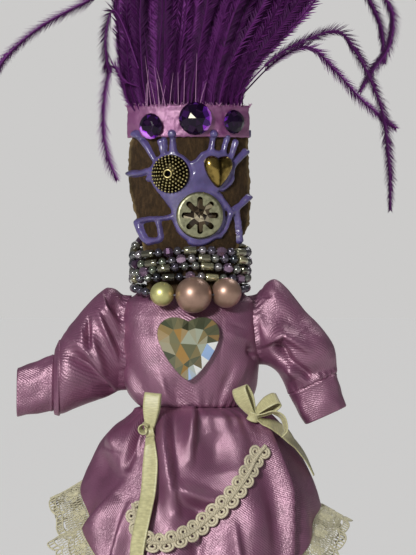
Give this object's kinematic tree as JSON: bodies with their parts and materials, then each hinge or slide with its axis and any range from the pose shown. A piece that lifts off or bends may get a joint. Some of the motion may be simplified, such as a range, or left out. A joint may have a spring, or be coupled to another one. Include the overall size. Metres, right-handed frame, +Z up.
{
  "type": "voodoo doll",
  "caption": "Voodoo doll with a bark head on a stick, a feather crest, a painted face set with beads, a wound bead necklace and a gathered satin dress with lace, braid and ribbon bows.",
  "frame": {"origin": "centre of the foot of the stick, on the floor that the underskirt's hem stands on", "axes": "+Z up the stick to the head, the face looks along -Y, +X to the viewer's right"},
  "size_m": [0.1345, 0.0924, 0.2818],
  "materials": {
    "stick_wood": "bare dowel",
    "twine": "hard twisted twine",
    "moss_stuffing": "dry moss and fibre",
    "bark": "rough bark",
    "band_satin": "gathered satin ribbon",
    "feather": "dyed ostrich feather",
    "amethyst": "cut acrylic stone",
    "lavender_paint": "raised glossy paint",
    "antique_brass": "dark granulated brass",
    "gilt": "polished gilt",
    "button_metal": "worn silvery cream",
    "clear_stone": "clear cut stone with a foil back",
    "thread": "waxed thread",
    "grey_glass": "lustred glass",
    "green_glass": "lustred glass",
    "purple_glass": "cut glass",
    "green_pearl": "pearl",
    "mauve_pearl": "pearl",
    "dress_satin": "lavender satin",
    "lace": "ivory lace",
    "braid": "ivory scroll gimp",
    "ribbon": "cream satin ribbon"
  },
  "bodies": {
    "doll": {"spine_stick": "stick_wood", "shoulder_stick": "stick_wood", "twine_lashing": "twine", "body_stuffing": "moss_stuffing", "head_slab": "bark", "head_band": "band_satin", "plume_tuft": "feather", "plume_fronds": "feather", "gem_left": "amethyst", "gem_centre": "amethyst", "gem_right": "amethyst", "paint_web": "lavender_paint", "dome_bead": "antique_brass", "gold_heart": "gilt", "flower_button": "button_metal", "button_stone": "clear_stone", "necklace_thread": "thread", "seed_beads": "grey_glass", "tube_beads": "green_glass", "cut_beads": "purple_glass", "pearl_thread": "thread", "collar_beads": "grey_glass", "bodice": "dress_satin", "heart_gem": "clear_stone", "overskirt": "dress_satin", "underskirt": "dress_satin", "lace_hem": "lace", "gimp_braid": "braid", "bow_left": "ribbon", "bow_right": "ribbon", "curl_right": "ribbon"},
    "arm_left": {"sleeve_left": "dress_satin", "cuff_left": "dress_satin", "arm_stuffing_left": "moss_stuffing"},
    "arm_right": {"sleeve_right": "dress_satin", "cuff_right": "dress_satin", "arm_stuffing_right": "moss_stuffing"},
    "pearl_small_body": {"pearl_small": "green_pearl"},
    "pearl_large_body": {"pearl_large": "mauve_pearl"},
    "pearl_medium_body": {"pearl_medium": "mauve_pearl"},
    "tail_left_body": {"tail_left": "ribbon"},
    "tail_right_body": {"tail_right": "ribbon"}
  },
  "joints": [
    {"name": "arm_left_raise", "type": "hinge", "parent": "doll", "child": "arm_left", "pos_m": [-0.02182, 0, 0.11256], "axis": [0, 1, 0], "range_deg": [0, 45]},
    {"name": "arm_right_raise", "type": "hinge", "parent": "doll", "child": "arm_right", "pos_m": [0.02133, 0, 0.1126], "axis": [0, -1, 0], "range_deg": [0, 40]},
    {"name": "pearl_small_spin", "type": "hinge", "parent": "doll", "child": "pearl_small_body", "pos_m": [-0.00914, -0.01699, 0.11338], "axis": [0.9459, -0.3127, -0.087], "continuous": true},
    {"name": "pearl_large_spin", "type": "hinge", "parent": "doll", "child": "pearl_large_body", "pos_m": [0.00118, -0.01811, 0.11307], "axis": [0.9995, 0.0303, 0.009], "continuous": true},
    {"name": "pearl_medium_spin", "type": "hinge", "parent": "doll", "child": "pearl_medium_body", "pos_m": [0.01194, -0.01533, 0.11377], "axis": [0.8542, 0.5046, 0.1256], "continuous": true},
    {"name": "tail_left_lift", "type": "hinge", "parent": "doll", "child": "tail_left_body", "pos_m": [-0.01339, -0.02831, 0.0646], "axis": [-0.883, 0.4691, 0.0164], "range_deg": [0, 45]},
    {"name": "tail_right_lift", "type": "hinge", "parent": "doll", "child": "tail_right_body", "pos_m": [0.02286, -0.01728, 0.0714], "axis": [0.1222, -0.7622, -0.6358], "range_deg": [0, 30]}
  ]
}
